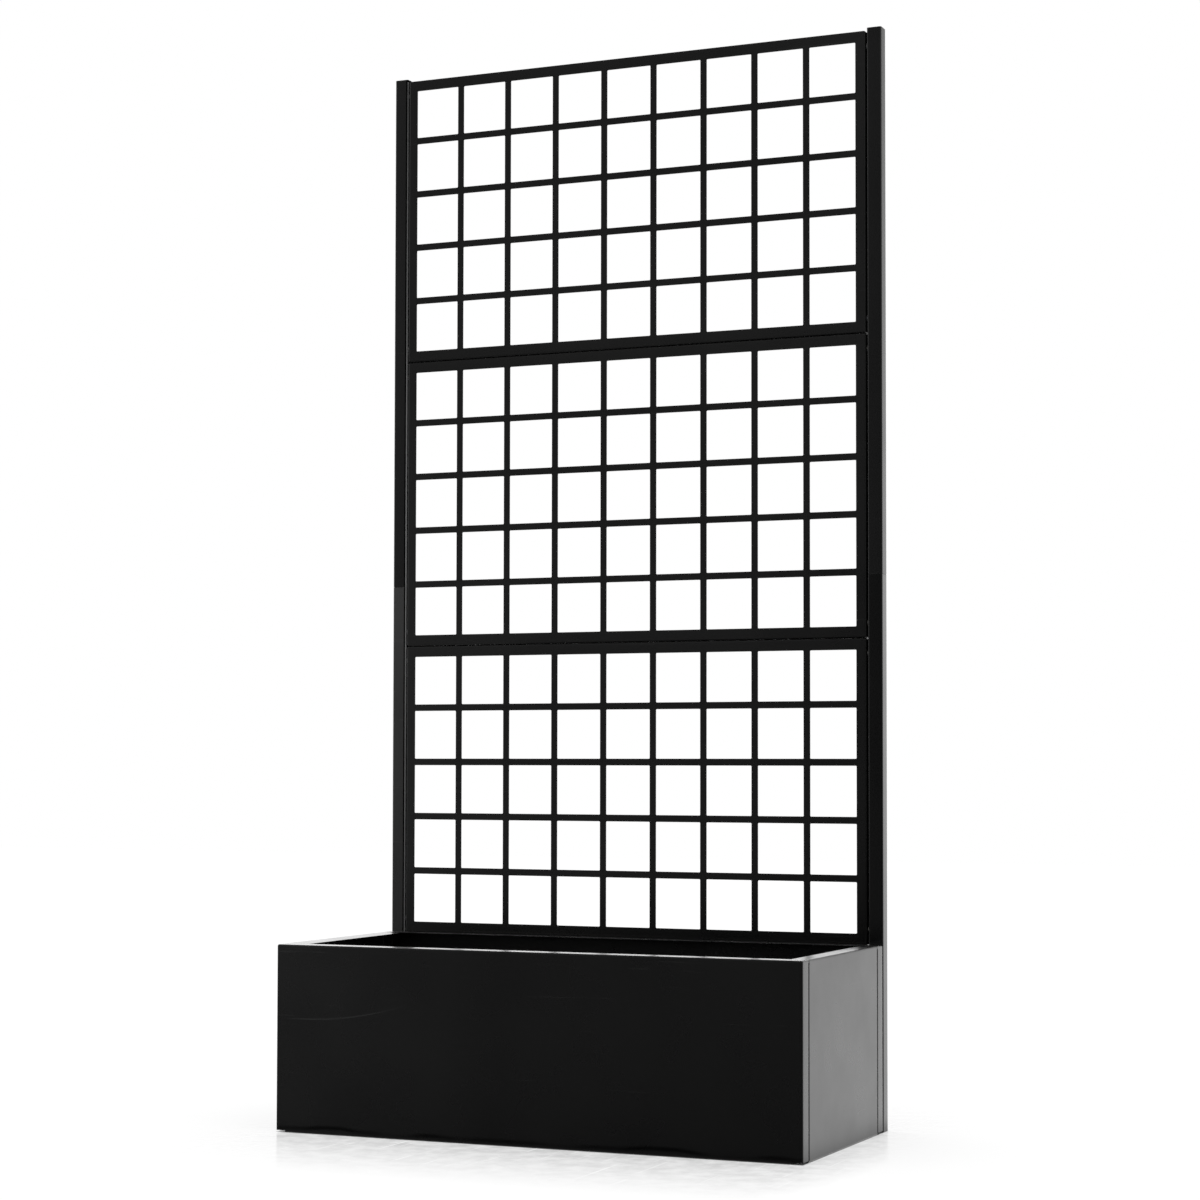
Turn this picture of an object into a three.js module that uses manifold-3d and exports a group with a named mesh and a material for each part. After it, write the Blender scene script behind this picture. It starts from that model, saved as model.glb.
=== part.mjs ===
// Planter with trellis: a folded sheet steel box, two square posts behind it and
// three punched grid panels between the posts.
// Millimetres, +Z up, +Y towards the wall, origin on the floor under the middle of the object.

import * as THREE from 'three';
import { RoundedBoxGeometry } from 'three/addons/geometries/RoundedBoxGeometry.js';
import { mergeVertices } from 'three/addons/utils/BufferGeometryUtils.js';
import Module from 'manifold-3d';

const wasm = await Module();
wasm.setup();

// ---------------------------------------------------------------- driving dimensions

// Overall
const WIDTH = 900;

// Planter box
const PLANTER_DEPTH = 392;
const PLANTER_HEIGHT = 302;
const SHEET = 1.2;
const BEND_RADIUS = 3;           // outer radius of every fold of the box
const RETURN_DEPTH = 28;         // edges of the front and back panels, folded round the box
const SIDE_RIM = 34;             // top edge of a side panel, folded in
const SIDE_BASE = 28;            // bottom edge of a side panel, folded in
const JOINT_FLANGE = 18;         // upright flanges that are bolted together inside the corners
const JOINT_GAP = 0.6;
const JOINT_FLANGE_RELIEF = 2;   // slot between a joint flange and the fold above or below it
const CORNER_RELIEF = 17;        // length that the bottom flange stops short of each corner
const CORNER_BOLT_LOW = 60;      // height of the lower corner bolts
const CORNER_BOLT_DROP = 62;     // upper corner bolts, below the rim

// Planter floor
const FLOOR_SHEET = 1.2;
const FLOOR_GAP = 0.3;           // above the bottom flanges
const FLOOR_EDGE_GAP = 1;        // to the walls
const DRAIN_DIAMETER = 12;
const DRAIN_INSET = 90;          // from the edge of the floor to the outer holes
const DRAIN_COLUMNS = 4;
const DRAIN_ROWS = 2;

// Posts: square tube in two lengths, joined on a sleeve
const POST_SIZE = 25;
const POST_WALL = 1.5;
const POST_CORNER = 3;
const POST_GAP = 2;              // from the back panel to the post
const POST_RISE = 4;           // of the post above the top panel
const SPLICE_ABOVE_PANEL = 104;  // above the lower edge of the middle panel
const SPLICE_GAP = 0.3;
const SLEEVE_LENGTH = 110;
const SLEEVE_WALL = 1.5;
const PLUG_LENGTH = 15;
const PLUG_WALL = 2;
const TUBE_FIT = 0.3;            // clearance of a sleeve or plug in the tube

// Trellis panels
const PANEL_COUNT = 3;
const PANEL_HEIGHT = 500.7;
const PANEL_GAP = 0.3;           // between stacked panels
const PANEL_SIDE_GAP = 2.5;      // between a panel and a post
const PANEL_DROP = 1.5;          // of the lower edge of the lowest panel, behind the rim
const PANEL_SHEET = 1.2;
const PANEL_BEND = 3;
const PANEL_FLANGE = 20;
const STILE = 17;
const RAIL = 19;
const BAR = 11.5;
const WINDOW_CORNER = 1;         // cut off each corner of a window
const COLUMNS = 9;
const ROWS = 5;
const PANEL_BOLT_INSET = 25;     // from the ends of a panel
const PANEL_BOLT_SETBACK = 10;   // behind the face of a panel

// Bolts between the planter and the posts
const POST_BOLT_LOW = 80;
const POST_BOLT_DROP = 80;       // upper bolts, below the rim

// Fasteners
const BOLT_DIAMETER = 6;
const BOLT_LENGTH = 12;
const HEAD_FLATS = 10;
const HEAD_HEIGHT = 4;
const HEAD_FLANGE_DIAMETER = 13;
const HEAD_FLANGE_HEIGHT = 1.2;
const HOLE_CLEARANCE = 0.3;      // round a bolt, and round an insert in its wall
const SEAT_GAP = 0.3;            // under a bolt head
const INSERT_DIAMETER = 9;
const INSERT_LENGTH = 11;        // from its flange into the tube
const INSERT_FLANGE_DIAMETER = 13;
const INSERT_SEAT_GAP = 0.2;     // between its flange and the tube
const NUT_HEIGHT = 5;

// Facets and cutters
const FOLD_STEPS = 2;            // of half a quarter bend
const ROUND_STEPS = 10;
const INSERT_STEPS = 8;
const OVERRUN = 1;               // of a cutter beyond what it cuts

// ---------------------------------------------------------------- places

const DEPTH = PLANTER_DEPTH + POST_GAP + POST_SIZE;
const PLANTER_Y = -DEPTH / 2 + PLANTER_DEPTH / 2;       // middle of the planter
const POST_FRONT = PLANTER_Y + PLANTER_DEPTH / 2 + POST_GAP;
const POST_X = WIDTH / 2 - POST_SIZE / 2;
const PANEL_WIDTH = WIDTH - 2 * (POST_SIZE + PANEL_SIDE_GAP);
const PANEL_PITCH = PANEL_HEIGHT + PANEL_GAP;
const TRELLIS_BASE = PLANTER_HEIGHT - PANEL_DROP;
const POST_TOP = TRELLIS_BASE + PANEL_COUNT * PANEL_PITCH - PANEL_GAP + POST_RISE;
const SPLICE_Z = TRELLIS_BASE + PANEL_PITCH + SPLICE_ABOVE_PANEL;
const JOINT_X = WIDTH / 2 - (BEND_RADIUS + JOINT_FLANGE) / 2;
const CORNER_BOLT_HEIGHTS = [CORNER_BOLT_LOW, PLANTER_HEIGHT - CORNER_BOLT_DROP];
const POST_BOLT_HEIGHTS = [POST_BOLT_LOW, PLANTER_HEIGHT - POST_BOLT_DROP];
const PANEL_BOLT_HEIGHTS = [PANEL_BOLT_INSET, PANEL_HEIGHT - PANEL_BOLT_INSET];
const INSERT_FLANGE_HEIGHT = Math.min(PANEL_SIDE_GAP, POST_GAP) - INSERT_SEAT_GAP - SEAT_GAP;

// ---------------------------------------------------------------- materials

const coated = (color, roughness) => new THREE.MeshStandardMaterial({ color, roughness, metalness: 0.2 });
const boxCoat = coated(0x1b1b1c, 0.38);
const postCoat = coated(0x222223, 0.42);
const gridCoat = coated(0x1e1e1f, 0.45);
const plastic = new THREE.MeshStandardMaterial({ color: 0x101011, roughness: 0.6, metalness: 0 });
const zinc = new THREE.MeshStandardMaterial({ color: 0xb4b6b8, roughness: 0.35, metalness: 0.9 });

// ---------------------------------------------------------------- solids

function toSolid(geometry) {
  const bare = geometry.clone();
  bare.deleteAttribute('normal');
  bare.deleteAttribute('uv');
  const merged = mergeVertices(bare, 1e-4);
  return new wasm.Manifold(new wasm.Mesh({
    numProp: 3,
    vertProperties: new Float32Array(merged.attributes.position.array),
    triVerts: new Uint32Array(merged.index.array),
  }));
}

function toGeometry(solid) {
  const mesh = solid.getMesh();
  const geometry = new THREE.BufferGeometry();
  geometry.setAttribute('position', new THREE.BufferAttribute(mesh.vertProperties, mesh.numProp));
  geometry.setIndex(new THREE.BufferAttribute(mesh.triVerts, 1));
  geometry.computeVertexNormals();
  return geometry;
}

function boxSolid(x0, x1, y0, y1, z0, z1) {
  const geometry = new THREE.BoxGeometry(x1 - x0, y1 - y0, z1 - z0);
  geometry.translate((x0 + x1) / 2, (y0 + y1) / 2, (z0 + z1) / 2);
  return toSolid(geometry);
}

function roundedBoxSolid(x0, x1, y0, y1, z0, z1, radius) {
  const geometry = new RoundedBoxGeometry(x1 - x0, y1 - y0, z1 - z0, FOLD_STEPS, radius);
  geometry.translate((x0 + x1) / 2, (y0 + y1) / 2, (z0 + z1) / 2);
  return toSolid(geometry);
}

// A cylinder along Y, from y0 to y1.
function rodSolid(diameter, x, y0, y1, z, steps = ROUND_STEPS) {
  const geometry = new THREE.CylinderGeometry(diameter / 2, diameter / 2, y1 - y0, steps);
  geometry.translate(x, (y0 + y1) / 2, z);
  return toSolid(geometry);
}

function extrudeUp(shape, z0, z1) {
  const options = { depth: z1 - z0, bevelEnabled: false, curveSegments: FOLD_STEPS };
  const geometry = new THREE.ExtrudeGeometry(shape, options);
  geometry.translate(0, 0, z0);
  return toSolid(geometry);
}

// A shape drawn in X and Z, extruded from y0 back to y1.
function extrudeBack(shape, y0, y1) {
  const options = { depth: y1 - y0, bevelEnabled: false, curveSegments: FOLD_STEPS };
  const geometry = new THREE.ExtrudeGeometry(shape, options);
  geometry.rotateX(Math.PI / 2);
  geometry.translate(0, y1, 0);
  return toSolid(geometry);
}

// Section of a folded sheet. The corners are those of its outer line, sharp, and all of its
// folds are square and turn the same way.
function foldedSection(corners, sheet, radius) {
  const shape = new THREE.Shape();
  const bends = corners.slice(1, -1).map((corner, k) => {
    const before = corners[k].clone().sub(corner).normalize();
    const after = corners[k + 2].clone().sub(corner).normalize();
    const centre = corner.clone().addScaledVector(before, radius).addScaledVector(after, radius);
    const clockwise = before.cross(after) > 0;
    return { centre, start: after.negate().angle(), end: before.negate().angle(), clockwise };
  });
  const last = corners.length - 1;
  const inward = (end, next, bend) => {
    const along = corners[next].clone().sub(corners[end]).normalize();
    const offset = bend.centre.clone().sub(corners[end]);
    return offset.addScaledVector(along, -offset.dot(along)).normalize().multiplyScalar(sheet);
  };
  shape.moveTo(corners[0].x, corners[0].y);
  for (const { centre, start, end, clockwise } of bends) {
    shape.absarc(centre.x, centre.y, radius, start, end, clockwise);
  }
  shape.lineTo(corners[last].x, corners[last].y);
  const lastInner = corners[last].clone().add(inward(last, last - 1, bends.at(-1)));
  shape.lineTo(lastInner.x, lastInner.y);
  for (const { centre, start, end, clockwise } of bends.toReversed()) {
    shape.absarc(centre.x, centre.y, radius - sheet, end, start, !clockwise);
  }
  const firstInner = corners[0].clone().add(inward(0, 1, bends[0]));
  shape.lineTo(firstInner.x, firstInner.y);
  return shape;
}

function roundedSquare(size, radius, path = new THREE.Shape()) {
  const flat = size / 2 - radius;
  path.absarc(flat, flat, radius, 0, Math.PI / 2);
  path.absarc(-flat, flat, radius, Math.PI / 2, Math.PI);
  path.absarc(-flat, -flat, radius, Math.PI, 1.5 * Math.PI);
  path.absarc(flat, -flat, radius, 1.5 * Math.PI, 2 * Math.PI);
  path.closePath();
  return path;
}

function squareTube(size, wall, corner) {
  const shape = roundedSquare(size, corner);
  shape.holes.push(roundedSquare(size - 2 * wall, Math.max(corner - wall, 0.2), new THREE.Path()));
  return shape;
}

// A sheet pressed into a shallow tray whose face looks to -Y, from y0 back to y0 + depth.
function traySolid(width, y0, depth, z0, z1, sheet, radius) {
  const outer = roundedBoxSolid(-width / 2, width / 2, y0, y0 + 2 * depth, z0, z1, radius);
  const inner = roundedBoxSolid(-width / 2 + sheet, width / 2 - sheet, y0 + sheet, y0 + 3 * depth,
    z0 + sheet, z1 - sheet, radius - sheet);
  const kept = boxSolid(-width, width, y0 - OVERRUN, y0 + depth, z0 - OVERRUN, z1 + OVERRUN);
  return outer.subtract(inner).intersect(kept);
}

const boltHole = BOLT_DIAMETER + 2 * HOLE_CLEARANCE;
const insertHole = INSERT_DIAMETER + 2 * HOLE_CLEARANCE;
const acrossCorners = (flats) => flats / Math.cos(Math.PI / 6);

// ---------------------------------------------------------------- planter box

const jointLow = BEND_RADIUS;
const jointHigh = PLANTER_HEIGHT - BEND_RADIUS - JOINT_FLANGE_RELIEF;

// An upright flange folded in from the right wall: its outer face is at `face`, and `away` is
// the direction in Y from that face to the rest of the sheet.
function jointFlange(face, away) {
  const right = WIDTH / 2;
  const corners = [
    new THREE.Vector2(right, face + away * (BEND_RADIUS + OVERRUN)),
    new THREE.Vector2(right, face),
    new THREE.Vector2(right - JOINT_FLANGE, face),
  ];
  return extrudeUp(foldedSection(corners, SHEET, BEND_RADIUS), jointLow, jointHigh);
}

// What the fold of a joint flange replaces at the end of the right wall.
function jointCut(face, away) {
  const ends = [face - away * OVERRUN, face + away * BEND_RADIUS].sort((a, b) => a - b);
  return boxSolid(WIDTH / 2 - BEND_RADIUS, WIDTH / 2 + OVERRUN, ends[0], ends[1], jointLow, jointHigh);
}

// Front panel, and turned round the back panel: a tray with a rim, two returns and a bottom
// flange, and a joint flange with weld nuts on each return.
function endPanel(postHoles) {
  const face = -PLANTER_DEPTH / 2;
  const edge = face + RETURN_DEPTH;
  let panel = traySolid(WIDTH, face, RETURN_DEPTH, 0, PLANTER_HEIGHT, SHEET, BEND_RADIUS);
  for (const turn of [0, 180]) {
    const placed = (solid) => (turn ? solid.mirror([1, 0, 0]) : solid);
    panel = panel.subtract(placed(jointCut(edge, -1))).add(placed(jointFlange(edge, -1)));
    const relief = boxSolid(WIDTH / 2 - CORNER_RELIEF, WIDTH / 2 + OVERRUN, face - OVERRUN,
      edge + OVERRUN, -OVERRUN, BEND_RADIUS);
    panel = panel.subtract(placed(relief));
    const nutSeat = edge - SHEET;
    for (const z of CORNER_BOLT_HEIGHTS) {
      const nut = rodSolid(acrossCorners(HEAD_FLATS), JOINT_X, nutSeat - NUT_HEIGHT, edge - SHEET / 2, z, 6);
      const hole = rodSolid(boltHole, JOINT_X, nutSeat - NUT_HEIGHT - OVERRUN, edge + OVERRUN, z);
      panel = panel.add(placed(nut)).subtract(placed(hole));
    }
    for (const z of postHoles) {
      const hole = rodSolid(boltHole, POST_X, face - OVERRUN, face + SHEET + OVERRUN, z);
      panel = panel.subtract(placed(hole));
    }
  }
  return toGeometry(panel);
}

// Right side panel, and turned round the left one: rim, wall and bottom flange in one fold, with
// a joint flange at each end.
function sidePanel() {
  const right = WIDTH / 2;
  const end = PLANTER_DEPTH / 2 - RETURN_DEPTH - JOINT_GAP;
  const section = foldedSection([
    new THREE.Vector2(right - SIDE_RIM, PLANTER_HEIGHT),
    new THREE.Vector2(right, PLANTER_HEIGHT),
    new THREE.Vector2(right, 0),
    new THREE.Vector2(right - SIDE_BASE, 0),
  ], SHEET, BEND_RADIUS);
  let panel = extrudeBack(section, -end, end);
  for (const away of [-1, 1]) {
    const face = -away * end;
    panel = panel.subtract(jointCut(face, away)).add(jointFlange(face, away));
    for (const z of CORNER_BOLT_HEIGHTS) {
      panel = panel.subtract(rodSolid(boltHole, JOINT_X, face - 2 * SHEET, face + 2 * SHEET, z));
    }
  }
  return toGeometry(panel);
}

// Flat floor on the bottom flanges, cut out round the joint flanges at its corners.
function floorPanel() {
  const halfX = WIDTH / 2 - SHEET - FLOOR_EDGE_GAP;
  const halfY = PLANTER_DEPTH / 2 - SHEET - FLOOR_EDGE_GAP;
  const notchX = WIDTH / 2 - JOINT_FLANGE - FLOOR_EDGE_GAP;
  const notchY = PLANTER_DEPTH / 2 - RETURN_DEPTH - JOINT_GAP - BEND_RADIUS - FLOOR_EDGE_GAP;
  const shape = new THREE.Shape();
  shape.moveTo(halfX, -notchY);
  for (const [sx, sy] of [[1, 1], [-1, 1], [-1, -1], [1, -1]]) {
    const corner = [[halfX, notchY], [notchX, notchY], [notchX, halfY]];
    const ordered = sx === sy ? corner : corner.toReversed();
    for (const [x, y] of ordered) shape.lineTo(sx * x, sy * y);
  }
  for (let i = 0; i < DRAIN_COLUMNS; i += 1) {
    for (let j = 0; j < DRAIN_ROWS; j += 1) {
      const x = THREE.MathUtils.lerp(DRAIN_INSET - halfX, halfX - DRAIN_INSET, i / (DRAIN_COLUMNS - 1));
      const y = THREE.MathUtils.lerp(DRAIN_INSET - halfY, halfY - DRAIN_INSET, j / (DRAIN_ROWS - 1));
      const hole = new THREE.Path();
      hole.absarc(x, y, DRAIN_DIAMETER / 2, 0, 2 * Math.PI, true);
      shape.holes.push(hole);
    }
  }
  const options = { depth: FLOOR_SHEET, bevelEnabled: false, curveSegments: ROUND_STEPS / 2 };
  return new THREE.ExtrudeGeometry(shape, options);
}

// ---------------------------------------------------------------- posts

// Heights of the bolts that hold the trellis panels, all the way up a post.
const insertHeights = [];
for (let k = 0; k < PANEL_COUNT; k += 1) {
  for (const z of PANEL_BOLT_HEIGHTS) insertHeights.push(TRELLIS_BASE + k * PANEL_PITCH + z);
}

// Cutters for the inserts of one post: those on its inner face, then those on its front face.
// `side` is 1 for the right post and -1 for the left one.
function insertCuts(side, diameter, reach) {
  const start = -POST_SIZE / 2 - OVERRUN;
  const setback = PANEL_BOLT_SETBACK - POST_SIZE / 2;
  const inner = insertHeights.map((z) => {
    const rod = new THREE.CylinderGeometry(diameter / 2, diameter / 2, reach + OVERRUN, ROUND_STEPS);
    rod.rotateZ(Math.PI / 2);
    rod.translate(side * (start + (reach + OVERRUN) / 2), setback, z);
    return toSolid(rod);
  });
  const front = POST_BOLT_HEIGHTS.map((z) => rodSolid(diameter, 0, start, start + OVERRUN + reach, z));
  return [...inner, ...front];
}

function postLength(side, z0, z1) {
  let tube = extrudeUp(squareTube(POST_SIZE, POST_WALL, POST_CORNER), z0, z1);
  for (const cut of insertCuts(side, insertHole, POST_WALL + OVERRUN)) tube = tube.subtract(cut);
  return toGeometry(tube);
}

const fitSize = POST_SIZE - 2 * POST_WALL - 2 * TUBE_FIT;
const fitCorner = Math.max(POST_CORNER - POST_WALL, TUBE_FIT);

// Inner tube that joins the two lengths of a post, relieved where an insert reaches it.
function sleeve(side) {
  const z0 = SPLICE_Z - SLEEVE_LENGTH / 2;
  let tube = extrudeUp(squareTube(fitSize, SLEEVE_WALL, fitCorner), z0, z0 + SLEEVE_LENGTH);
  const relief = INSERT_FLANGE_DIAMETER + 2 * HOLE_CLEARANCE;
  for (const cut of insertCuts(side, relief, POST_WALL + INSERT_LENGTH)) tube = tube.subtract(cut);
  return toGeometry(tube);
}

// Cup-shaped plug, closed at z = 0 and open at the top.
function plug() {
  const outer = extrudeUp(roundedSquare(fitSize, fitCorner), 0, PLUG_LENGTH);
  const bore = roundedSquare(fitSize - 2 * PLUG_WALL, fitCorner);
  const pocket = extrudeUp(bore, PLUG_WALL, PLUG_LENGTH + OVERRUN);
  return toGeometry(outer.subtract(pocket));
}

// ---------------------------------------------------------------- trellis

// Rectangle with its four corners cut off.
function blunted(x0, x1, z0, z1, cut) {
  const points = [
    [x0 + cut, z0],
    [x1 - cut, z0],
    [x1, z0 + cut],
    [x1, z1 - cut],
    [x1 - cut, z1],
    [x0 + cut, z1],
    [x0, z1 - cut],
    [x0, z0 + cut],
  ];
  return new THREE.Shape(points.map(([x, z]) => new THREE.Vector2(x, z)));
}

// Punched sheet with its four edges folded back. Its lower edge is at z = 0.
function trellisPanel() {
  let panel = traySolid(PANEL_WIDTH, 0, PANEL_FLANGE, 0, PANEL_HEIGHT, PANEL_SHEET, PANEL_BEND);
  const windowWidth = (PANEL_WIDTH - 2 * STILE - (COLUMNS - 1) * BAR) / COLUMNS;
  const windowHeight = (PANEL_HEIGHT - 2 * RAIL - (ROWS - 1) * BAR) / ROWS;
  for (let row = 0; row < ROWS; row += 1) {
    for (let column = 0; column < COLUMNS; column += 1) {
      const x0 = -PANEL_WIDTH / 2 + STILE + column * (windowWidth + BAR);
      const z0 = RAIL + row * (windowHeight + BAR);
      const outline = blunted(x0, x0 + windowWidth, z0, z0 + windowHeight, WINDOW_CORNER);
      panel = panel.subtract(extrudeBack(outline, -OVERRUN, PANEL_SHEET + OVERRUN));
    }
  }
  for (const z of PANEL_BOLT_HEIGHTS) {
    const length = PANEL_WIDTH + 2 * OVERRUN;
    const rod = new THREE.CylinderGeometry(boltHole / 2, boltHole / 2, length, ROUND_STEPS);
    rod.rotateZ(Math.PI / 2);
    rod.translate(0, PANEL_BOLT_SETBACK, z);
    panel = panel.subtract(toSolid(rod));
  }
  return toGeometry(panel);
}

// ---------------------------------------------------------------- fasteners

// Hexagon flange bolt along +Y, with the seat of its head at y = 0.
function bolt() {
  const shank = rodSolid(BOLT_DIAMETER, 0, -HEAD_FLANGE_HEIGHT, BOLT_LENGTH, 0);
  const flange = rodSolid(HEAD_FLANGE_DIAMETER, 0, -HEAD_FLANGE_HEIGHT, 0, 0);
  const top = -HEAD_FLANGE_HEIGHT - HEAD_HEIGHT;
  const head = rodSolid(acrossCorners(HEAD_FLATS), 0, top, -HEAD_FLANGE_HEIGHT / 2, 0, 6);
  return toGeometry(shank.add(flange).add(head));
}

// Threaded insert along +Y, with the seat of its flange at y = 0 and its body beyond.
function insert() {
  const bore = boltHole / 2;
  const profile = [
    [bore, -INSERT_FLANGE_HEIGHT],
    [INSERT_FLANGE_DIAMETER / 2, -INSERT_FLANGE_HEIGHT],
    [INSERT_FLANGE_DIAMETER / 2, 0],
    [INSERT_DIAMETER / 2, 0],
    [INSERT_DIAMETER / 2, INSERT_LENGTH],
    [bore, INSERT_LENGTH],
    [bore, -INSERT_FLANGE_HEIGHT],
  ].map(([radius, y]) => new THREE.Vector2(radius, y));
  return toGeometry(toSolid(new THREE.LatheGeometry(profile, INSERT_STEPS)));
}

// ---------------------------------------------------------------- assembly

const planterWithTrellis = new THREE.Group();

function place(parent, name, geometry, material, position = [0, 0, 0], turn = 0) {
  const mesh = new THREE.Mesh(geometry, material.clone());
  mesh.name = name;
  mesh.position.set(...position);
  mesh.rotation.z = turn;
  parent.add(mesh);
}

const planter = new THREE.Group();
planter.position.y = PLANTER_Y;
planterWithTrellis.add(planter);
place(planter, 'front_panel', endPanel([]), boxCoat);
place(planter, 'back_panel', endPanel(POST_BOLT_HEIGHTS), boxCoat, [0, 0, 0], Math.PI);
const side = sidePanel();
place(planter, 'right_side_panel', side, boxCoat);
place(planter, 'left_side_panel', side, boxCoat, [0, 0, 0], Math.PI);
place(planter, 'floor_panel', floorPanel(), boxCoat, [0, 0, SHEET + FLOOR_GAP]);

const boltGeometry = bolt();
const insertGeometry = insert();
const HANDS = [['left', -1], ['right', 1]];

// Corner bolts go from inside the planter through both joint flanges into the weld nuts.
const cornerSeat = PLANTER_DEPTH / 2 - RETURN_DEPTH - JOINT_GAP - SHEET - SEAT_GAP;
for (const [hand, sign] of HANDS) {
  for (const [end, away] of [['front', -1], ['back', 1]]) {
    const turn = away > 0 ? 0 : Math.PI;
    CORNER_BOLT_HEIGHTS.forEach((z, k) => {
      const name = `${end}_${hand}_corner_bolt_${k + 1}`;
      place(planter, name, boltGeometry, zinc, [sign * JOINT_X, away * cornerSeat, z], turn);
    });
  }
}

for (const [hand, sign] of HANDS) {
  const post = new THREE.Group();
  post.position.set(sign * POST_X, POST_FRONT + POST_SIZE / 2, 0);
  planterWithTrellis.add(post);
  place(post, `${hand}_post_lower`, postLength(sign, 0, SPLICE_Z - SPLICE_GAP), postCoat);
  place(post, `${hand}_post_upper`, postLength(sign, SPLICE_Z, POST_TOP), postCoat);
  place(post, `${hand}_post_sleeve`, sleeve(sign), zinc);
  place(post, `${hand}_post_foot_plug`, plug(), plastic);
  place(post, `${hand}_post_top_plug`, plug().rotateX(Math.PI), plastic, [0, 0, POST_TOP]);

  // Inserts and bolts of the trellis panels, along X into the inner face of the post.
  const face = -sign * POST_SIZE / 2;
  const setback = PANEL_BOLT_SETBACK - POST_SIZE / 2;
  const turn = -sign * Math.PI / 2;
  const panelBoltSeat = face - sign * (PANEL_SIDE_GAP + PANEL_SHEET + SEAT_GAP);
  insertHeights.forEach((z, k) => {
    const insertSeat = face - sign * INSERT_SEAT_GAP;
    place(post, `${hand}_panel_insert_${k + 1}`, insertGeometry, zinc, [insertSeat, setback, z], turn);
    place(post, `${hand}_panel_bolt_${k + 1}`, boltGeometry, zinc, [panelBoltSeat, setback, z], turn);
  });

  // Inserts and bolts that hold the planter, along Y into the front face of the post.
  POST_BOLT_HEIGHTS.forEach((z, k) => {
    const front = -POST_SIZE / 2;
    const boltSeat = front - POST_GAP - SHEET - SEAT_GAP;
    place(post, `${hand}_planter_insert_${k + 1}`, insertGeometry, zinc, [0, front - INSERT_SEAT_GAP, z]);
    place(post, `${hand}_planter_bolt_${k + 1}`, boltGeometry, zinc, [0, boltSeat, z]);
  });
}

const trellis = new THREE.Group();
trellis.position.set(0, POST_FRONT, TRELLIS_BASE);
planterWithTrellis.add(trellis);
const grid = trellisPanel();
const LEVELS = ['lower', 'middle', 'upper'];
for (let k = 0; k < PANEL_COUNT; k += 1) {
  place(trellis, `trellis_panel_${LEVELS[k] ?? k + 1}`, grid, gridCoat, [0, 0, k * PANEL_PITCH]);
}

export default planterWithTrellis;
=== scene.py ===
import math
import bpy
from mathutils import Matrix, Vector


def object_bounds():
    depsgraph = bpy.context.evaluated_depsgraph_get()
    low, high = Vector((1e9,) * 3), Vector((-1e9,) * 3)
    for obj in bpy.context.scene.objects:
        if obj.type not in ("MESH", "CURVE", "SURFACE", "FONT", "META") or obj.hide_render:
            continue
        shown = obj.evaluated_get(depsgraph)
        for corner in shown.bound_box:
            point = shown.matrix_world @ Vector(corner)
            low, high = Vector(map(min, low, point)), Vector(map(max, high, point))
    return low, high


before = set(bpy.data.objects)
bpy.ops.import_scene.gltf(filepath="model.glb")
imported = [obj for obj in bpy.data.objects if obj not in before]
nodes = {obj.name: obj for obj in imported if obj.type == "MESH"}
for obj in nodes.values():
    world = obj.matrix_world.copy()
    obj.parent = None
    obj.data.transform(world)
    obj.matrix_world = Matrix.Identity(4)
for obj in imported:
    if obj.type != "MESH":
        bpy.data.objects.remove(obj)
cad_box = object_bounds()

# ------------------------------------------------------------------ places on the object, in metres

X, Y, Z = 0, 1, 2


def span(name, axis):
    """Lowest and highest coordinate of a piece along one axis."""
    piece = nodes[name]
    values = [(piece.matrix_world @ Vector(corner))[axis] for corner in piece.bound_box]
    return min(values), max(values)


HALF_WIDTH, HALF_DEPTH = cad_box[1][X], cad_box[1][Y]
RIM_Z = span("front_panel", Z)[1]
BOX_MIDDLE_Y = (span("front_panel", Y)[0] + span("back_panel", Y)[1]) / 2
SEAM_Y = span("right_side_panel", Y)[1] - BOX_MIDDLE_Y     # corner seams, from the middle of the box
POST_INSIDE_X = span("left_post_lower", X)[1]
POST_FRONT_Y = span("left_post_lower", Y)[0]
SPLICE_Z = span("left_post_lower", Z)[1]
PANEL_EDGE_X = span("trellis_panel_lower", X)[1]
TRELLIS_LOW_Z = span("trellis_panel_lower", Z)[0]
TRELLIS_HIGH_Z = span("trellis_panel_upper", Z)[1]
TRELLIS_MIDDLE_Z = (TRELLIS_LOW_Z + TRELLIS_HIGH_Z) / 2

# ------------------------------------------------------------------ camera

EYE = Vector((1.7767, -4.0039, 0.5897))
YAW, PITCH, ROLL = 0.41159, 0.03879, 0.00175
FOCAL_PX, CENTRE_Y_PX, IMAGE_PX = 2686.3, 662.84, 1200
SENSOR_MM = 36
CLIP_END = 100


def photo_camera():
    """The camera, solved from the straight edges of the object."""
    forward = Vector((-math.sin(YAW) * math.cos(PITCH), math.cos(YAW) * math.cos(PITCH), math.sin(PITCH)))
    level = Vector((math.cos(YAW), math.sin(YAW), 0))
    upright = level.cross(forward)
    right = math.cos(ROLL) * level + math.sin(ROLL) * upright
    up = math.cos(ROLL) * upright - math.sin(ROLL) * level
    data = bpy.data.cameras.new("camera")
    data.sensor_width = SENSOR_MM
    data.lens = SENSOR_MM * FOCAL_PX / IMAGE_PX
    data.shift_y = (CENTRE_Y_PX - IMAGE_PX / 2) / IMAGE_PX
    data.clip_end = CLIP_END
    camera = bpy.data.objects.new("camera", data)
    bpy.context.scene.collection.objects.link(camera)
    turn = Matrix((right, up, -forward)).transposed().to_4x4()
    camera.matrix_world = Matrix.Translation(EYE) @ turn
    bpy.context.scene.camera = camera


photo_camera()

# ------------------------------------------------------------------ node graphs


def grey(level):
    return (level, level, level, 1)


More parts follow.
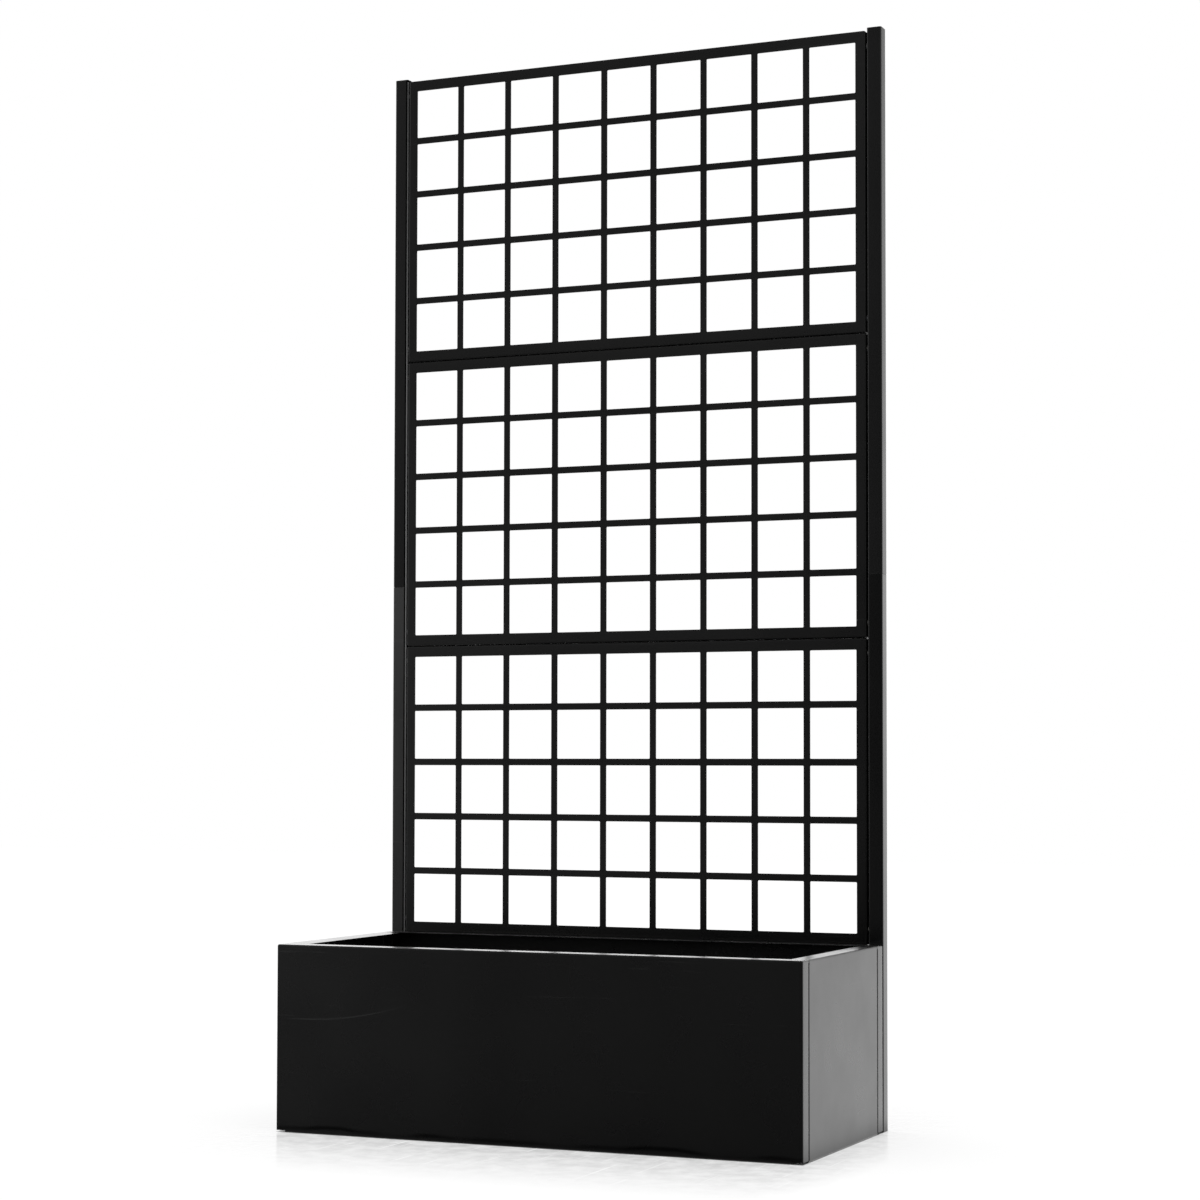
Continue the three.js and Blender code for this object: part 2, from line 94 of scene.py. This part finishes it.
class Graph:
    """Short calls that add nodes to a material or world."""

    def __init__(self, owner):
        owner.use_nodes = True
        self.tree = owner.node_tree
        self.tree.nodes.clear()

    def add(self, kind, inputs=None, **settings):
        node = self.tree.nodes.new(kind)
        for key, value in settings.items():
            setattr(node, key, value)
        for key, value in (inputs or {}).items():
            if isinstance(value, bpy.types.NodeSocket):
                self.tree.links.new(value, node.inputs[key])
            else:
                node.inputs[key].default_value = value
        return node

    def place(self, scale=(1, 1, 1), rotation=(0, 0, 0), offset=(0, 0, 0), vector=None):
        """Coordinates on the object, or the given ones, scaled, then turned, then moved."""
        vector = vector or self.add("ShaderNodeTexCoord").outputs["Object"]
        inputs = {"Vector": vector, "Scale": scale, "Rotation": rotation, "Location": offset}
        return self.add("ShaderNodeMapping", inputs).outputs[0]

    def axes(self):
        """The outputs X, Y and Z of the coordinates on the object."""
        return self.add("ShaderNodeSeparateXYZ", {0: self.place()}).outputs

    def noise(self, scale, detail=2.0, roughness=0.5, vector=None, distortion=0.0):
        inputs = {"Vector": vector or self.place(), "Scale": scale, "Detail": detail,
                  "Roughness": roughness, "Distortion": distortion}
        return self.add("ShaderNodeTexNoise", inputs).outputs[0]

    def remap(self, value, low, high, to_low, to_high):
        inputs = {"Value": value, "From Min": low, "From Max": high, "To Min": to_low, "To Max": to_high}
        return self.add("ShaderNodeMapRange", inputs, clamp=True).outputs[0]

    def between(self, value, start, full, fade, end):
        """0 up to start, 1 from full to fade, 0 again from end."""
        return self.product(self.remap(value, start, full, 0.0, 1.0), self.remap(value, fade, end, 1.0, 0.0))

    def math(self, operation, a, b=0.0, c=0.0):
        return self.add("ShaderNodeMath", {0: a, 1: b, 2: c}, operation=operation).outputs[0]

    def product(self, first, *others):
        for other in others:
            first = self.math("MULTIPLY", first, other)
        return first

    def gap(self, value, target):
        """Distance of a value from its target."""
        return self.math("ABSOLUTE", self.math("SUBTRACT", value, target))

    def beyond(self, value, limit):
        """How far a value lies past a limit that holds on both sides of 0."""
        return self.math("SUBTRACT", self.math("ABSOLUTE", value), limit)

    def blend(self, factor, a, b):
        return self.add("ShaderNodeMix", {0: factor, 6: a, 7: b}, data_type="RGBA").outputs[2]

    def toned(self, colour, factor):
        return self.add("ShaderNodeVectorMath", {0: colour, 3: factor}, operation="SCALE").outputs[0]

    def bump(self, height, distance, under=None):
        inputs = {"Height": height, "Distance": distance}
        if under:
            inputs["Normal"] = under
        return self.add("ShaderNodeBump", inputs).outputs[0]

    def sum_of(self, shader, other):
        return self.add("ShaderNodeAddShader", {0: shader, 1: other}).outputs[0]

    def choice(self, factor, shader, other):
        return self.add("ShaderNodeMixShader", {0: factor, 1: shader, 2: other}).outputs[0]

    def glow(self, strength):
        return self.add("ShaderNodeEmission", {"Strength": strength}).outputs[0]

    def surface(self, shader):
        self.add("ShaderNodeOutputMaterial", {"Surface": shader})


# ------------------------------------------------------------------ materials

BLACK = grey(0.0)
COAT_IOR = 1.32
COAT_SHEEN = 0.5                  # specular level of the black coat under its skin
GLOSS_RANGE = 0.03                # roughness, up and down
EDGE_ON = (0.84, 0.93)            # how far a surface faces away where its turn to a mirror starts and ends
EDGE_ON_COLOUR = grey(0.66)

FRONT_TONE = 0.0074
SCRATCH_START_X, SCRATCH_START_Z = 0.050 - HALF_WIDTH, 0.1833
SCRATCH_BEND = 0.82               # rise of the scratch over the square of its run, in 1/m
SCRATCH_ENDS_X = (-0.44, -0.39, -0.28, -0.21)     # fades in over the first two, out over the last two
SCRATCH_REACH = (0.0004, 0.0016)  # distances from its middle where it starts and ends to fade
RIPPLE_Z = (0.004, 0.011)         # lowest and highest place of the painted dark reflections along the bottom fold
RIPPLE_REACH = (0.001, 0.005)

CORNER_INSET = 0.0035             # start of a post's inner corners, from its inner face
# Painted glint on the left post's inner corner, beside the panels:
PAINTED_GLINT_INSET = 0.0011
PAINTED_GLINT_DEPTH = 0.0045          # how far the painted glint runs back round the corner
PAINTED_GLINT_PEAK_Z = 1.0            # where it is brightest
PAINTED_GLINT_FADING = -0.65          # per metre up or down

LOWEST_RAIL_SHADE = 0.12          # height over which the painted shade of the lowest rail fades
FLANK_DEPTH = 0.0007              # of what counts as a trellis panel's outer face

SEAM_INSET = 0.0009               # middle of a seam's dark top, from the edge of the side panel
SEAM_WIDTH = 0.004
SEAM_DEPTH = 0.003
SEAM_TOP = (0.0076, 0.0013)       # its lower and upper end, below the rim

SOFT = 0.0003                     # half the width of a soft border between two tones


def powder_coat(name, tone, gloss, wave, seed=0.0, peel=0.000006, marks_and_light=None, dull=None):
    """Satin black coat under a clearer skin: fine orange peel, slow waves, mottled tone, faint rubs.

    Seen nearly edge on it turns into a pale mirror. The marks function changes the colour in places,
    also with painted light and shade, and dull(g) is the share of the sheen that is missing.
    """
    material = bpy.data.materials.new(name)
    g = Graph(material)
    at = g.place(offset=(seed, 2 * seed, 3 * seed))
    mottle = g.noise(scale=2.4, detail=3.0, roughness=0.55, vector=at)
    grain = g.noise(scale=520.0, detail=1.0, vector=at)
    rubs_at = g.place(scale=(5, 5, 160), rotation=(0.5, 0.25, 0.0), vector=at)
    rubs = g.noise(scale=1.0, roughness=0.6, vector=rubs_at, distortion=0.4)
    rubs = g.remap(rubs, 0.68, 0.74, 0.0, 1.0)
    colour = g.blend(g.remap(mottle, 0.35, 0.65, 0.0, 1.0), grey(tone * 0.80), grey(tone * 1.22))
    colour = g.blend(g.remap(grain, 0.55, 0.75, 0.0, 0.15), colour, grey(tone * 2.0))
    colour = g.blend(g.product(rubs, 0.35), colour, grey(tone * 3.0))
    # Marks, and painted light and shade, on the colour.
    if marks_and_light:
        colour = marks_and_light(g, colour)
    uneven = g.noise(scale=9.0, detail=3.0, roughness=0.6, vector=at)
    uneven = g.remap(uneven, 0.3, 0.7, gloss - GLOSS_RANGE, gloss + GLOSS_RANGE)
    rough = g.math("SUBTRACT", uneven, g.product(rubs, 0.015))
    waves = g.bump(g.noise(scale=3.2, detail=1.0, roughness=0.4, vector=at), wave)
    skin = g.bump(g.noise(scale=430.0, detail=1.0, vector=at), peel, waves)
    facing = g.add("ShaderNodeLayerWeight", {"Blend": 0.5}).outputs["Facing"]
    glance = g.remap(facing, *EDGE_ON, 0.0, 1.0)
    coat_weight, sheen = 1.0, COAT_SHEEN
    if dull:
        coat_weight = g.math("SUBTRACT", 1.0, dull(g))
        sheen = g.product(coat_weight, COAT_SHEEN)
        glance = g.product(glance, coat_weight)
    shader = g.add("ShaderNodeBsdfPrincipled", {
        "Base Color": g.blend(glance, colour, EDGE_ON_COLOUR), "Metallic": glance, "Roughness": rough,
        "Normal": skin, "IOR": COAT_IOR, "Specular IOR Level": sheen, "Coat Weight": coat_weight,
        "Coat Roughness": rough, "Coat IOR": COAT_IOR, "Coat Normal": skin})
    g.surface(shader.outputs[0])
    return material


def front_scratch_and_painted_light(g, colour):
    """Front panel: painted light, paler on the left; one faint scratch there; painted dark reflections along
    the bottom fold.
    """
    where = g.axes()
    along, height = where["X"], where["Z"]
    run = g.math("MAXIMUM", g.math("SUBTRACT", along, SCRATCH_START_X), 0.0)
    scratch_z = g.math("MULTIPLY_ADD", g.product(run, run), SCRATCH_BEND, SCRATCH_START_Z)
    scratch = g.remap(g.gap(height, scratch_z), *SCRATCH_REACH, 0.7, 0.0)
    scratch = g.product(scratch, g.between(along, *SCRATCH_ENDS_X))
    colour = g.blend(scratch, colour, grey(FRONT_TONE * 3.0))
    # Painted light: paler on the left, a little darker on the right.
    painted_light = g.remap(along, -0.42, -0.05, 1.5, 0.85)
    colour = g.toned(colour, painted_light)
    # Painted reflection: dark wavy streaks just above the bottom fold.
    ripple = g.noise(scale=1.0, detail=1.0, roughness=0.4, vector=g.place(scale=(7, 0, 0)))
    ripple_z = g.remap(ripple, 0.35, 0.65, *RIPPLE_Z)
    shade = g.remap(g.gap(height, ripple_z), *RIPPLE_REACH, 1.0, 0.0)
    shade = g.product(shade, g.remap(ripple, 0.42, 0.55, 0.3, 1.0))
    return g.blend(shade, colour, BLACK)


def left_post_corner(g):
    """The inner face of the left post with its two corners, which have no sheen and are painted black, as
    painted shade beside the panels.
    """
    corner_x = POST_INSIDE_X - CORNER_INSET
    return g.remap(g.axes()["X"], corner_x - SOFT, corner_x + SOFT, 0.0, 1.0)


def left_post_painted_light(g, colour):
    """Left post: painted shade darker towards the floor, the inner side painted black as shade and, beside
    the panels, a painted glint on it.
    """
    where = g.axes()
    # Painted shade: darker from the splice down to the rim of the box.
    colour = g.toned(colour, g.remap(where["Z"], RIM_Z, SPLICE_Z, 0.78, 1.30))
    # Painted shade: the inner side black, where it meets the panels.
    colour = g.blend(left_post_corner(g), colour, BLACK)
    # Painted glint: a pale line on the inner corner beside the panels, brightest at its peak height.
    glint_x = POST_INSIDE_X - PAINTED_GLINT_INSET
    glint_y = POST_FRONT_Y + PAINTED_GLINT_DEPTH
    inner = g.remap(where["X"], glint_x - SOFT, glint_x + SOFT, 0.0, 1.0)
    near_front = g.remap(where["Y"], glint_y - SOFT, glint_y + SOFT, 1.0, 0.0)
    beside_panels = g.between(where["Z"], TRELLIS_LOW_Z, TRELLIS_LOW_Z + 2 * SOFT,
                              TRELLIS_HIGH_Z - 2 * SOFT, TRELLIS_HIGH_Z)
    strength = g.math("MULTIPLY_ADD", g.gap(where["Z"], PAINTED_GLINT_PEAK_Z), PAINTED_GLINT_FADING, 1.0)
    return g.blend(g.product(inner, near_front, beside_panels, strength), colour, grey(0.31))


def trellis_painted_light(g, colour):
    """Painted light on the trellis: paler low on the left and high on the right, and painted shade on its
    lowest rail.
    """
    where = g.axes()
    # Painted light: paler low on the left and high on the right.
    per_metre_up = g.math("MULTIPLY_ADD", where["X"], 1.70, -0.333)
    factor = g.math("MULTIPLY_ADD", g.math("SUBTRACT", where["Z"], TRELLIS_MIDDLE_Z), per_metre_up, 1.18)
    # Painted shade on the lowest rail.
    painted_rail_shade = g.remap(where["Z"], TRELLIS_LOW_Z, TRELLIS_LOW_Z + LOWEST_RAIL_SHADE, 0.4, 1.0)
    return g.toned(colour, g.product(factor, painted_rail_shade))


def trellis_flanks(g):
    """The outer faces of the trellis panels, close to the posts and without sheen, which stands in for the
    shade in the gaps beside the posts.
    """
    flank_x = PANEL_EDGE_X - FLANK_DEPTH
    return g.remap(g.math("ABSOLUTE", g.axes()["X"]), flank_x - SOFT, flank_x + SOFT, 0.0, 1.0)


def seam_tops(g):
    """The last millimetres of each corner seam of the box, in the shade under the rim."""
    where = g.axes()
    off_seam = g.gap(g.gap(where["Y"], BOX_MIDDLE_Y), SEAM_Y - SEAM_INSET)
    on_seam = g.remap(off_seam, SEAM_WIDTH / 2 - 2 * SOFT, SEAM_WIDTH / 2 + 2 * SOFT, 0.75, 0.0)
    low, high = (RIM_Z - drop for drop in SEAM_TOP)
    under_rim = g.between(where["Z"], low - SOFT, low + SOFT, high - 2 * SOFT, high + 2 * SOFT)
    inner_x = HALF_WIDTH - SEAM_DEPTH
    outside = g.remap(g.math("ABSOLUTE", where["X"]), inner_x - 2 * SOFT, inner_x + 2 * SOFT, 0.0, 1.0)
    return g.product(on_seam, under_rim, outside)


def moulded_plastic(name, tone):
    """Fine spark-eroded grain, slightly scuffed."""
    material = bpy.data.materials.new(name)
    g = Graph(material)
    scuffs = g.remap(g.noise(scale=60.0, detail=3.0), 0.4, 0.7, 0.0, 1.0)
    colour = g.blend(scuffs, grey(tone * 0.8), grey(tone * 1.5))
    rough = g.remap(g.noise(scale=90.0), 0.3, 0.7, 0.5, 0.62)
    grain = g.bump(g.noise(scale=1400.0), 0.00003)
    shader = g.add("ShaderNodeBsdfPrincipled", {
        "Base Color": colour, "Roughness": rough, "Normal": grain, "IOR": 1.46})
    g.surface(shader.outputs[0])
    return material


def zinc_plate(name):
    """Bright zinc with a blue and yellow cast in patches and fine turning marks."""
    material = bpy.data.materials.new(name)
    g = Graph(material)
    patches = g.remap(g.noise(scale=160.0, detail=3.0), 0.35, 0.65, 0.0, 1.0)
    bluish, yellowish = (0.50, 0.53, 0.58, 1), (0.62, 0.60, 0.54, 1)
    colour = g.blend(patches, bluish, yellowish)
    rough = g.remap(g.noise(scale=240.0), 0.3, 0.7, 0.24, 0.40)
    turning = g.bump(g.noise(scale=1.0, vector=g.place(scale=(900, 900, 4000))), 0.00001)
    shader = g.add("ShaderNodeBsdfPrincipled", {
        "Base Color": colour, "Metallic": 1.0, "Roughness": rough, "Normal": turning})
    g.surface(shader.outputs[0])
    return material


box_coat = powder_coat("box_coat", tone=0.0070, gloss=0.28, wave=0.0004, dull=seam_tops)
front_coat = powder_coat("front_coat", tone=FRONT_TONE, gloss=0.28, wave=0.0004,
                         marks_and_light=front_scratch_and_painted_light, dull=seam_tops)
side_coat = powder_coat("side_coat", tone=0.0070, gloss=0.29, wave=0.0004, seed=3.0, dull=seam_tops)
grid_coat = powder_coat("grid_coat", tone=0.0070, gloss=0.28, wave=0.0002, seed=7.0, peel=0.000004,
                        marks_and_light=trellis_painted_light, dull=trellis_flanks)
# Painted light: the post pieces get lit and shaded tones of one coat, the lower left one palest and the
# lower right one darkest.
right_upper_coat = powder_coat("right_upper_coat", tone=0.0075, gloss=0.26, wave=0.0002, seed=11.0)
right_lower_coat = powder_coat("right_lower_coat", tone=0.0045, gloss=0.19, wave=0.0002, seed=13.0)
left_upper_coat = powder_coat("left_upper_coat", tone=0.0048, gloss=0.26, wave=0.0002, seed=15.0,
                              marks_and_light=left_post_painted_light, dull=left_post_corner)
left_lower_coat = powder_coat("left_lower_coat", tone=0.0310, gloss=0.28, wave=0.0002, seed=17.0,
                              marks_and_light=left_post_painted_light, dull=left_post_corner)
plug_plastic = moulded_plastic("plug_plastic", tone=0.012)
zinc = zinc_plate("zinc")


def finish_of(name):
    if "bolt" in name or "insert" in name or "sleeve" in name:
        return zinc
    if "plug" in name:
        return plug_plastic
    if "trellis" in name:
        return grid_coat
    if "left_post" in name:
        return left_upper_coat if "upper" in name else left_lower_coat
    if "right_post" in name:
        return right_upper_coat if "upper" in name else right_lower_coat
    if "side" in name:
        return side_coat
    return front_coat if "front" in name else box_coat


# ------------------------------------------------------------------ dressing of the solids

EDGE_SIZE = {"bolt": 0.00025, "insert": 0.0002, "plug": 0.0006, "sleeve": 0.0002}
SHEET_EDGE_SIZE = 0.0003
WELD_DISTANCE = 0.00001
EDGE_ANGLE = math.radians(40)
CREASE_ANGLE = math.radians(35)

for name, piece in nodes.items():
    piece.material_slots[0].material = finish_of(name)
    piece.data.polygons.foreach_set("use_smooth", [True] * len(piece.data.polygons))
    weld = piece.modifiers.new("weld", "WELD")
    weld.merge_threshold = WELD_DISTANCE
    bevel = piece.modifiers.new("edges", "BEVEL")
    bevel.width = next((size for key, size in EDGE_SIZE.items() if key in name), SHEET_EDGE_SIZE)
    bevel.segments = 2
    bevel.limit_method = "ANGLE"
    bevel.angle_limit = EDGE_ANGLE
    split = piece.modifiers.new("creases", "EDGE_SPLIT")
    split.split_angle = CREASE_ANGLE
    flats = piece.modifiers.new("flats", "WEIGHTED_NORMAL")
    flats.mode = "FACE_AREA"
    flats.keep_sharp = True

# ------------------------------------------------------------------ studio

BEHIND = (-0.40, 0.915, 0.0)      # level direction from the camera towards the object

# Brightness of what a mirror sees, from the camera's side (0) to behind the object (1).
SWEEP = [(0.00, 0.03), (0.13, 0.04), (0.20, 0.18), (0.32, 0.35), (0.48, 0.90), (0.56, 1.0)]

FLOOR_SIZE = 12.0                 # from the middle to each edge
FLOOR_TONE = 0.30                 # of the matt paint
FLOOR_GLOW = 0.75                 # even brightness added to the paint's own
FOOT_EDGE = 0.002                 # round the object, where that brightness sets in
SIDE_FADING = 3.2                 # the reflection fades this much faster beside the object than before it
REFLECTION_LENGTH = 0.36
SHADOW_LENGTH, SHADOW_START = 0.25, 0.55     # what the object mirrors of the floor is dimmer near it
COVERED = (-0.010, -0.003)        # from the object's outline inwards, where it mirrors no floor
POLISH = 0.26
SCRATCH_SETS = ((0.28, 1.0), (-0.85, 5.0), (0.75, 9.0))     # direction in radians, place in the pattern


def studio_world():
    """Even white for the camera and for matt surfaces.

    Mirrors see a white sweep behind the object, a dark room on the camera's side, a shade low on the
    right, a lamp above it and a dim ceiling.
    """
    world = bpy.data.worlds.new("studio")
    bpy.context.scene.world = world
    g = Graph(world)
    direction = g.add("ShaderNodeTexCoord").outputs["Generated"]
    along = g.add("ShaderNodeVectorMath", {0: direction, 1: BEHIND}, operation="DOT_PRODUCT")
    ramp = g.add("ShaderNodeValToRGB", {"Fac": g.remap(along.outputs["Value"], -1.0, 1.0, 0.0, 1.0)})
    while len(ramp.color_ramp.elements) < len(SWEEP):
        ramp.color_ramp.elements.new(0.5)
    for element, (position, level) in zip(ramp.color_ramp.elements, SWEEP):
        element.position = position
        element.color = grey(level)
    axes = g.add("ShaderNodeSeparateXYZ", {0: direction}).outputs
    height = g.math("MAXIMUM", axes["Z"], 0.0)
    rightward = g.math("MAXIMUM", axes["X"], 0.0)
    shade = g.product(g.remap(height, 0.08, 0.27, 0.0, 0.8), g.remap(rightward, 0.0, 0.3, 0.0, 1.0))
    sweep = g.product(ramp.outputs[0], g.math("SUBTRACT", 1.0, shade))
    lamp = g.product(height, g.math("MULTIPLY_ADD", rightward, 1.2, 0.25))
    ceiling = g.remap(height, 0.35, 0.75, 1.0, 0.12)
    mirrored = g.math("MINIMUM", g.product(g.math("ADD", sweep, lamp), ceiling), 1.0)
    rays = g.add("ShaderNodeLightPath").outputs
    seen = g.math("MAXIMUM", rays["Is Camera Ray"], rays["Is Transmission Ray"])
    plain = g.math("MAXIMUM", seen, rays["Is Diffuse Ray"])
    colour = g.blend(plain, mirrored, grey(1.0))
    background = g.add("ShaderNodeBackground", {"Color": colour, "Strength": 1.0})
    g.add("ShaderNodeOutputWorld", {"Surface": background.outputs[0]})


def floor_wear(g):
    """How much of the floor's polish is left: patchy, and cut by fine scratches in three directions."""
    scratches = 0.0
    for turn, start in SCRATCH_SETS:
        line_at = g.place(scale=(170, 4, 1), rotation=(0, 0, turn), offset=(start, start, 0))
        lines = g.remap(g.noise(scale=1.0, detail=1.0, vector=line_at), 0.70, 0.78, 0.0, 1.2)
        scratches = g.math("MAXIMUM", scratches, lines)
    patches = g.remap(g.noise(scale=28.0, detail=5.0, roughness=0.65), 0.38, 0.62, 1.30, 0.65)
    return g.math("SUBTRACT", patches, scratches)


def floor_material():
    """Matt pale floor with a short reflection of the object, and what the object itself mirrors of it."""
    material = bpy.data.materials.new("studio_floor")
    g = Graph(material)
    where = g.axes()
    past_side = g.beyond(where["X"], HALF_WIDTH)
    past_front = g.beyond(where["Y"], HALF_DEPTH)
    beside = g.product(g.math("MAXIMUM", past_side, 0.0), SIDE_FADING)
    before = g.math("MAXIMUM", past_front, 0.0)
    away = g.math("SQRT", g.math("ADD", g.product(beside, beside), g.product(before, before)))
    polish = g.product(g.remap(away, 0.0, REFLECTION_LENGTH, 1.0, 0.0), floor_wear(g), POLISH)
    rough = g.remap(g.noise(scale=14.0, detail=4.0, roughness=0.6), 0.3, 0.7, 0.10, 0.16)
    paint = g.add("ShaderNodeBsdfDiffuse", {"Color": grey(FLOOR_TONE)}).outputs[0]
    mirror = g.add("ShaderNodeBsdfGlossy", {"Color": polish, "Roughness": rough}).outputs[0]
    outside = g.remap(away, 0.0, FOOT_EDGE, 0.0, 1.0)
    even = g.glow(g.product(g.math("SUBTRACT", FLOOR_GLOW, polish), outside))
    seen = g.sum_of(g.sum_of(paint, mirror), even)
    dark_side = g.remap(where["X"], -1.1, 0.1, 0.14, 0.045)
    pale_side = g.remap(where["Y"], -HALF_DEPTH - 0.02, -HALF_DEPTH + 0.04, 0.0, 1.0)
    sweep = g.math("MAXIMUM", pale_side, dark_side)
    uncovered = g.remap(g.math("MAXIMUM", past_side, past_front), *COVERED, 0.0, 1.0)
    shadow = g.product(g.remap(away, 0.0, SHADOW_LENGTH, SHADOW_START, 1.0), uncovered)
    reflected = g.glow(g.product(sweep, shadow))
    rays = g.add("ShaderNodeLightPath").outputs
    mirrored = g.math("MAXIMUM", rays["Is Glossy Ray"], rays["Is Transmission Ray"])
    plain = g.math("MAXIMUM", rays["Is Camera Ray"], mirrored)
    g.surface(g.choice(mirrored, g.choice(plain, paint, seen), reflected))
    return material


def studio_floor():
    mesh = bpy.data.meshes.new("studio_floor")
    corners = [(-FLOOR_SIZE, -FLOOR_SIZE, 0), (FLOOR_SIZE, -FLOOR_SIZE, 0),
               (FLOOR_SIZE, FLOOR_SIZE, 0), (-FLOOR_SIZE, FLOOR_SIZE, 0)]
    mesh.from_pydata(corners, [], [(0, 1, 2, 3)])
    mesh.materials.append(floor_material())
    floor = bpy.data.objects.new("studio_floor", mesh)
    bpy.context.scene.collection.objects.link(floor)


studio_world()
studio_floor()
bpy.context.scene.view_settings.view_transform = "Standard"
